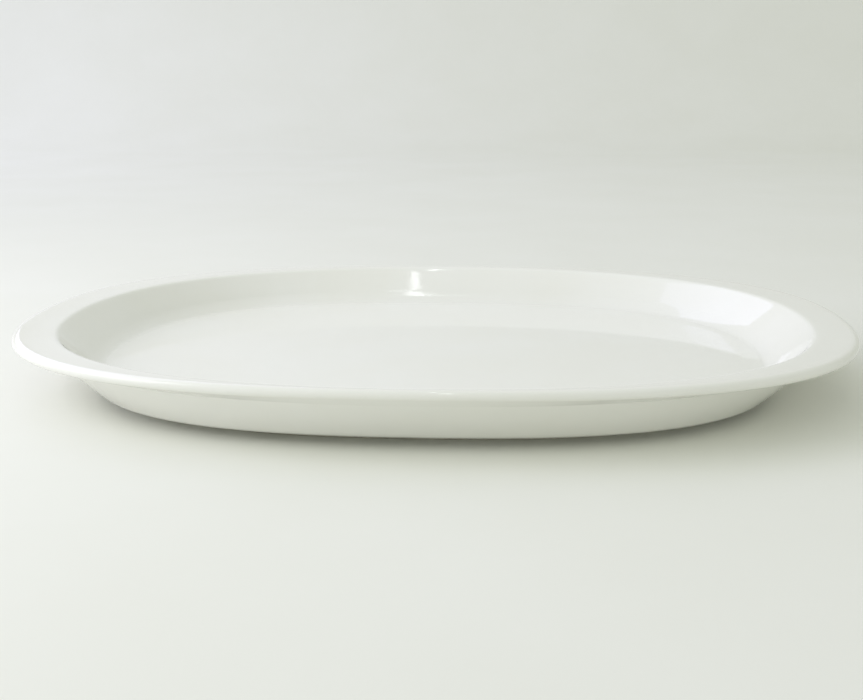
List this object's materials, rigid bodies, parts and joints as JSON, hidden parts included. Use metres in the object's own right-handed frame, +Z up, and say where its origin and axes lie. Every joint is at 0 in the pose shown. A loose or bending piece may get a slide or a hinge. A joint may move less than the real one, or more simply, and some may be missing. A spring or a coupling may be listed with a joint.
{
  "type": "serving platter",
  "caption": "Oval glazed china serving platter with a shallow flat-bottomed well, a rim broad at the ends and narrow along the sides, a rolled lip and a foot ring.",
  "frame": {"origin": "centre of the footprint, on the plane that the foot ring stands on", "axes": "+X along the platter, +Y across it, +Z up out of the well"},
  "size_m": [0.356, 0.254, 0.0265],
  "materials": {
    "china": "fired vitrified china, warm off-white, matt and slightly gritty",
    "glaze": "clear gloss glaze over white china, smooth with faint waviness"
  },
  "bodies": {
    "root": {"china_body": "china", "main_glaze": "glaze", "underside_glaze": "glaze"}
  },
  "joints": []
}
